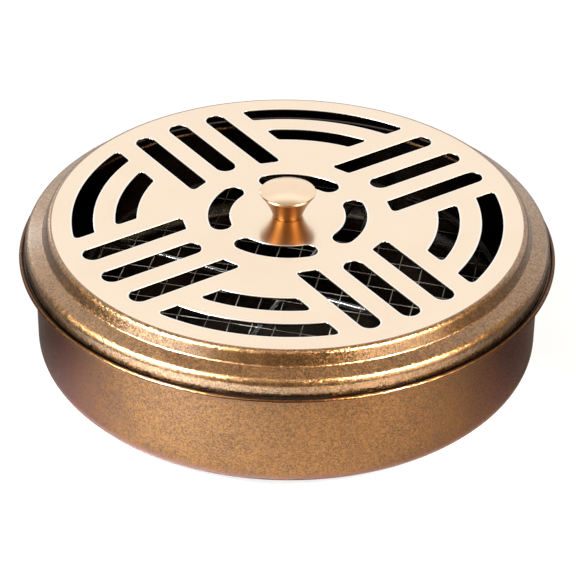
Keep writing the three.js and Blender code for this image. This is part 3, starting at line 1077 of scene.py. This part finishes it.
# painted shade: near black for the ring and the welds under the lid
STEEL_SHADE_DARK = (0.050, 0.042, 0.036, 1)
STEEL_SHADE_BLACK = (0.018, 0.015, 0.013, 1)


def steel_finish(name, grain_size, roughness, colours=(STEEL_LIGHT, STEEL_DARK)):
    material, tree = empty_material(name)
    place = place_on_object(tree)
    grain = cloud(tree, place, grain_size, 4.0)
    colour = two_colours(tree, remap(tree, grain, 0.35, 0.65), *colours)
    rough = remap(tree, grain, 0.3, 0.7, roughness - 0.05, roughness + 0.08)
    relief = bump(tree, grain, 0.2, 0.01 * MM)
    return with_surface(material, metal(tree, colour, rough, {"Normal": relief}))


fastener_steel = steel_finish("fastener_steel", 0.4 * MM, 0.3)

# %% Washer and screw meshes
WASHER_RADIUS = 4.9
WASHER_THICKNESS = 0.8
WASHER_EDGE = 0.15
WASHER_BOTTOM = PLATE_TOP - SHEET - WASHER_THICKNESS
SCREW_HEAD_RADIUS = 3.6
SCREW_HEAD_HEIGHT = 2.2
SCREW_HEAD_DOME = 1.3
SCREW_BOTTOM = WASHER_BOTTOM - SCREW_HEAD_HEIGHT
SLOT_WIDTH = 1.0
SLOT_DEPTH = 1.0
SLOT_LENGTH = 10.0
THREAD_RADIUS = 2.0
THREAD_TOP = PLATE_TOP + 5.5
THREAD_PITCH = 0.7
THREAD_DEPTH = 0.28
THREAD_END = 0.3


def screw_runs():
    """Head, shank and thread of the screw; the thread is a row of small ridges."""
    dome = SCREW_HEAD_DOME
    head = [
        face_point(0, SCREW_BOTTOM, 180),
        *face_arc(SCREW_HEAD_RADIUS - dome, SCREW_BOTTOM + dome, dome, 180, 90, 10),
        face_point(SCREW_HEAD_RADIUS, WASHER_BOTTOM, 90),
    ]
    seat = [face_point(SCREW_HEAD_RADIUS, WASHER_BOTTOM, 0),
            face_point(THREAD_RADIUS, WASHER_BOTTOM, 0)]
    shank = [(THREAD_RADIUS, WASHER_BOTTOM)]
    height = WASHER_BOTTOM + THREAD_PITCH
    while height < THREAD_TOP - THREAD_PITCH:
        shank.append((THREAD_RADIUS, height))
        shank.append((THREAD_RADIUS - THREAD_DEPTH, height + THREAD_PITCH / 2))
        height += THREAD_PITCH
    shank += [(THREAD_RADIUS - THREAD_END, THREAD_TOP), (0, THREAD_TOP)]
    return [head, seat, with_tilts(shank)]


washer = band_profile(
    SCREW_HOLE, WASHER_RADIUS, WASHER_BOTTOM, WASHER_BOTTOM + WASHER_THICKNESS, WASHER_EDGE, 5
)
washer_mesh = turned_mesh("washer_plain", [washer], 72, closed=True)
new_piece(washer_mesh, fastener_steel, "lid", ["knob_washer"])


def cut_slot(mesh):
    """Cuts a straight slot across the underside of the screw's head. It is done before the
    screw is put on its body, while the cutter and the screw are both at rest."""
    slot = bmesh.new()
    bmesh.ops.create_cube(slot, size=1.0)
    size = Vector((SLOT_LENGTH, SLOT_WIDTH, 2 * SLOT_DEPTH))
    for point in slot.verts:
        point.co = (point.co * size + Vector((0, 0, SCREW_BOTTOM))) * MM
    cutter_mesh = bpy.data.meshes.new("slot_cutter")
    slot.to_mesh(cutter_mesh)
    slot.free()
    cutter = add_object("slot_cutter", cutter_mesh)
    uncut = add_object("uncut_screw", mesh)
    modifier = uncut.modifiers.new("slot", "BOOLEAN")
    modifier.object = cutter
    modifier.solver = "EXACT"
    bpy.context.view_layer.update()
    cut = bpy.data.meshes.new_from_object(
        uncut.evaluated_get(bpy.context.evaluated_depsgraph_get())
    )
    for item in (uncut, cutter):
        bpy.data.objects.remove(item)
    name = mesh.name
    bpy.data.meshes.remove(mesh)
    cut.name = name
    cut.shade_smooth()
    cut.set_sharp_from_angle(angle=radians(35))
    return cut


screw_mesh = cut_slot(turned_mesh("screw_pan_head", screw_runs(), 96))
new_piece(screw_mesh, fastener_steel, "lid", ["knob_screw"])

# %% [markdown]
# Rack: wires and ring
#
# Two bright steel wires cross under the net. Their ends are bent down as legs, which stand
# on the tray's bottom, and a wire ring lies on them. A curve object with a round bevel
# would do, but a sweep in code keeps the section round in the tight bends, and the cut
# ends of the legs get a small chamfer. The wires stay bright, because the ash falls past
# them; the ring is near black as painted shade.

# %% Rack sizes
WIRE = 0.8
WIRE_HEIGHT = 16.7
WIRE_BEND = 3.0
RACK_SHIFT = 1.2
LEG_RADIUS = TRAY_RADIUS - TRAY_CORNER - RACK_SHIFT - WIRE - GAP
LEG_FOOT = SHEET + GAP
LEG_CHAMFER = 0.2
CROSSING_RISE = 2 * WIRE + GAP
LOWER_TURN = radians(-14.5)
UPPER_TURN = LOWER_TURN + radians(93)
RING_RADIUS = LEG_RADIUS - WIRE_BEND
RING_HEIGHT = WIRE_HEIGHT + 2 * WIRE + GAP
rack_shift = Vector((RACK_SHIFT, 0, 0))

# %% Sweep


def sweep(bm, path, sizes, side, sides):
    """A closed tube along a path in one plane. Each point has a half width and a half
    height; side is the level direction across the path."""
    rings = []
    for i, point in enumerate(path):
        way = path[min(i + 1, len(path) - 1)] - path[max(i - 1, 0)]
        up = way.normalized().cross(side)
        ring = []
        for k in range(sides):
            angle = 2 * pi * k / sides
            offset = side * (cos(angle) * sizes[i][0]) + up * (sin(angle) * sizes[i][1])
            ring.append(bm.verts.new((point + offset) * MM))
        rings.append(ring)
    for first, second in zip(rings, rings[1:]):
        for k in range(sides):
            n = (k + 1) % sides
            bm.faces.new((first[k], first[n], second[n], second[k]))
    bm.faces.new(list(reversed(rings[0])))
    bm.faces.new(rings[-1])


def finish_bmesh(bm, name, sharp_degrees=40):
    bmesh.ops.recalc_face_normals(bm, faces=bm.faces)
    mesh = bpy.data.meshes.new(name)
    bm.to_mesh(mesh)
    bm.free()
    mesh.shade_smooth()
    mesh.set_sharp_from_angle(angle=radians(sharp_degrees))
    return mesh


# %% Wires


def half_wire(rise, way):
    """From the middle of the span to the foot of one leg, along +X or -X."""
    span_end = LEG_RADIUS - WIRE_BEND
    points = []
    for t in spread(0.5, 1, 40):
        lift = rise * 4 * t * (1 - t)
        x = span_end * (2 * t - 1) if rise == 0 else cubic(t, -span_end, span_end)
        points.append(Vector((way * x, 0, WIRE_HEIGHT + lift)))
    corner = Vector((way * LEG_RADIUS, 0, WIRE_HEIGHT))
    top = Vector((way * span_end, 0, WIRE_HEIGHT))
    low = Vector((way * LEG_RADIUS, 0, WIRE_HEIGHT - WIRE_BEND))
    points += corner_curve(top, corner, low, 14)[1:-1]
    foot = Vector((way * LEG_RADIUS, 0, LEG_FOOT))
    return points + [low, low.lerp(foot, 0.5), foot + Vector((0, 0, LEG_CHAMFER)), foot]


def cubic(t, start, end):
    """The length along the span of the raised wire: its curve has handles halfway."""
    handle = end / 2
    return (
        start * (1 - t) ** 3 + 3 * -handle * t * (1 - t) ** 2
        + 3 * handle * t ** 2 * (1 - t) + end * t ** 3
    )


def wire_mesh(name, rise, turn):
    left = half_wire(rise, -1)
    right = half_wire(rise, 1)
    path = list(reversed(left)) + right[1:]
    spin = Matrix.Rotation(turn, 3, "Z")
    path = [spin @ p + rack_shift for p in path]
    sizes = [(WIRE, WIRE)] * len(path)
    sizes[0] = sizes[-1] = (WIRE - LEG_CHAMFER, WIRE - LEG_CHAMFER)
    bm = bmesh.new()
    sweep(bm, path, sizes, spin @ Vector((0, 1, 0)), 24)
    return finish_bmesh(bm, name)


wire_steel = steel_finish("wire_steel", 2.5 * MM, 0.16)
lower_wire = wire_mesh("wire_lower", 0, LOWER_TURN)
upper_wire = wire_mesh("wire_upper", CROSSING_RISE, UPPER_TURN)
new_piece(lower_wire, wire_steel, "rack", ["cross_wire_a"])
new_piece(upper_wire, wire_steel, "rack", ["cross_wire_b"])

# %% Ring
ring_mesh = turned_mesh(
    "ring_wire", [face_arc(RING_RADIUS, RING_HEIGHT, WIRE, 180, -180, 24)], 200
)
ring_mesh.transform(Matrix.Translation(rack_shift * MM))
# painted shade: the ring and the welds are near black
shade_dark_steel = steel_finish("shade_dark_steel", 1.5 * MM, 0.35, (STEEL_SHADE_DARK, STEEL_SHADE_BLACK))
new_piece(ring_mesh, shade_dark_steel, "rack", ["net_ring"])

# %% [markdown]
# Rack: welds
#
# Where wires touch, a spot weld joins them and leaves a small uneven lump. The lumps are
# balls pressed flat and roughened with a noise, so no two are alike. They also close the
# small gap that the plain solids keep between the wires.

# %% Weld lumps
RING_WELD = (1.0, 0.7, 0.55)
MIDDLE_WELD = (0.8, 0.8, 0.5)
WELD_BULGE = 0.16


def weld_lump(bm, centre, sizes, turn, seed):
    start = len(bm.verts)
    bmesh.ops.create_icosphere(bm, subdivisions=3, radius=1.0)
    bm.verts.ensure_lookup_table()
    spin = Matrix.Rotation(turn, 3, "Z")
    for point in bm.verts[start:]:
        bulge = 1 + WELD_BULGE * noise.noise(point.co * 1.7 + Vector((seed, 0, 0)))
        shaped = Vector([point.co[k] * sizes[k] * bulge for k in range(3)])
        point.co = (spin @ shaped + centre) * MM


def weld_mesh():
    bm = bmesh.new()
    seed = 0
    between = WIRE_HEIGHT + CROSSING_RISE / 2
    for angle in (LOWER_TURN, UPPER_TURN, LOWER_TURN + pi, UPPER_TURN + pi):
        spot = Vector((cos(angle), sin(angle), 0)) * RING_RADIUS
        centre = spot + rack_shift + Vector((0, 0, between))
        weld_lump(bm, centre, RING_WELD, angle, seed)
        seed += 3
    weld_lump(bm, rack_shift + Vector((0, 0, between)), MIDDLE_WELD, 0.4, seed)
    return finish_bmesh(bm, "weld_lumps", 60)


new_piece(weld_mesh(), shade_dark_steel, "rack")

# %% [markdown]
# Net
#
# The net is woven glass fibre with square gaps of about seven millimetres. In this kind
# of weave two thin strands twist round each cross yarn and lock it, so the net doesn't
# fray. The strands are swept as thin tubes. The spacing isn't even: where the net shows
# through the openings it follows the picture to within a quarter of a gap, and elsewhere
# it carries on at about the same pitch. The cross yarns lie askew and slightly bowed, as
# they do in such a loose net. Smoke has darkened it in patches, and towards the back and
# the rim it is darkened further as painted shade.

# %% Net sizes
NET_PITCH = 7.09
NET_THICKNESS = 0.4
NET_MIDDLE = RING_HEIGHT + WIRE + GAP + NET_THICKNESS / 2
NET_REACH = RING_RADIUS + WIRE - 0.5
COLUMN_SHARES = (-7.91, -6.74, -5.73, -4.83, -3.84, -2.69, -1.78, -0.89, 0,
                 1.06, 2.14, 3.06, 4.09, 5.01, 6.09, 7.12, 8.15)
ROW_SHARES = (-7.54, -6.54, -5.54, -4.54, -3.54, -2.54, -1.51, -0.48,
              0.48, 1.34, 2.36, 3.36, 4.36, 5.36, 6.36, 7.36)
ROW_SLOPE = math.tan(radians(-4))
ROW_BOW = 0.0004
YARN_STEP = 0.7
YARN_SWAY = 0.12
SWAY_RATE = 0.12
TWIST = (0.075, 0.085)
STRAND = (0.085, 0.075)
CROSS_YARN = (0.17, 0.065)
random.seed(7)

# %% Yarns


def row_place(share, x):
    """Where a cross yarn lies at a distance x from the middle, in mm."""
    return NET_PITCH * share + ROW_SLOPE * x - ROW_BOW * x ** 2


def crossing_phase(place, crossings):
    """Half a turn of twist for each crossing passed, measured along a strand."""
    if place <= crossings[0]:
        return (place - crossings[0]) / NET_PITCH
    for i in range(len(crossings) - 1):
        if place <= crossings[i + 1]:
            return i + (place - crossings[i]) / (crossings[i + 1] - crossings[i])
    return len(crossings) - 1 + (place - crossings[-1]) / NET_PITCH


def add_column(bm, x):
    """Two strands that twist half a turn between one cross yarn and the next."""
    rows = [row_place(share, x) for share in ROW_SHARES]
    reach = math.sqrt(NET_REACH ** 2 - x ** 2)
    count = round(2 * reach / YARN_STEP)
    drift = random.uniform(0, 50)
    for half_turn in (0, pi):
        path = []
        for y in spread(-reach, reach, count):
            angle = pi * crossing_phase(y, rows) + half_turn + pi / 2
            sway = YARN_SWAY * noise.noise(Vector((x, y * SWAY_RATE, drift)))
            across, up = TWIST[0] * cos(angle), TWIST[1] * sin(angle)
            path.append(Vector((x + across + sway, y, NET_MIDDLE + up)))
        sweep(bm, path, [STRAND] * len(path), Vector((-1, 0, 0)), 8)


def row_end(share, way):
    """How far a cross yarn runs to one side before it meets the rim."""
    x = 0.0
    while math.hypot(x, row_place(share, x)) < NET_REACH:
        x += way * YARN_STEP / 4
    return x - way * YARN_STEP / 4


def add_row(bm, share):
    """One flat yarn that runs between the strands."""
    left, right = row_end(share, -1), row_end(share, 1)
    count = round((right - left) / YARN_STEP)
    drift = random.uniform(0, 50)
    path = []
    for x in spread(left, right, count):
        sway = YARN_SWAY * noise.noise(Vector((x * SWAY_RATE, share, drift)))
        path.append(Vector((x, row_place(share, x) + sway, NET_MIDDLE)))
    sweep(bm, path, [CROSS_YARN] * len(path), Vector((0, 1, 0)), 8)


def net_mesh():
    bm = bmesh.new()
    for share in COLUMN_SHARES:
        add_column(bm, NET_PITCH * share)
    for share in ROW_SHARES:
        add_row(bm, share)
    mesh = finish_bmesh(bm, "net_woven", 60)
    mesh.transform(Matrix.Translation(rack_shift * MM))
    return mesh


# %% Yarn finish
CLEAN_YARN = (0.62, 0.61, 0.57, 1)
# soot in patches, and painted shade towards the back and the rim
SOOT_AND_SHADE_YARN = (0.030, 0.026, 0.022, 1)


def yarn_finish():
    material, tree = empty_material("glass_yarn")
    place = place_on_object(tree)
    fibre = cloud(tree, place, 0.12 * MM, 3.0)
    patches = wander(tree, place, 14 * MM, 0.0, 0.45, 3.0)
    # painted shade: darker towards the back of the net and near the rim
    painted_shade_behind = remap(tree, along(tree, place, "Y"), 4 * MM, 34 * MM, 0.0, 0.6)
    painted_shade_rim = remap(tree, distance_from_axis(tree, place), 54 * MM, 57.5 * MM)
    yarn_soot_and_shade = maths(tree, "ADD", maths(tree, "ADD", patches, painted_shade_behind), painted_shade_rim)
    yarn_soot_and_shade = maths(tree, "MULTIPLY_ADD", fibre, 0.25, yarn_soot_and_shade)
    share = remap(tree, yarn_soot_and_shade, 0.1, 1.0)
    surface = add_node(tree, "BsdfPrincipled", {
        "Base Color": two_colours(tree, share, CLEAN_YARN, SOOT_AND_SHADE_YARN), "Roughness": 0.45,
        "Normal": bump(tree, fibre, 0.5, 0.02 * MM), "Coat Weight": 0.3, "Coat Roughness": 0.2,
    })
    return with_surface(material, surface.outputs[0])


yarn = yarn_finish()
new_piece(net_mesh(), yarn, "rack", ["net"])

# %% Net edge
BAND_WIDTH = 1.3
BAND_HALF = 0.17
BAND_EDGE = 0.12
BAND_RADIUS = RING_RADIUS + WIRE - 0.02
band = band_profile(
    BAND_RADIUS - BAND_WIDTH, BAND_RADIUS, NET_MIDDLE - BAND_HALF, NET_MIDDLE + BAND_HALF,
    BAND_EDGE, 4,
)
band_mesh = turned_mesh("net_edge_band", [band], 200, closed=True)
band_mesh.transform(Matrix.Translation(rack_shift * MM))
new_piece(band_mesh, yarn, "rack")
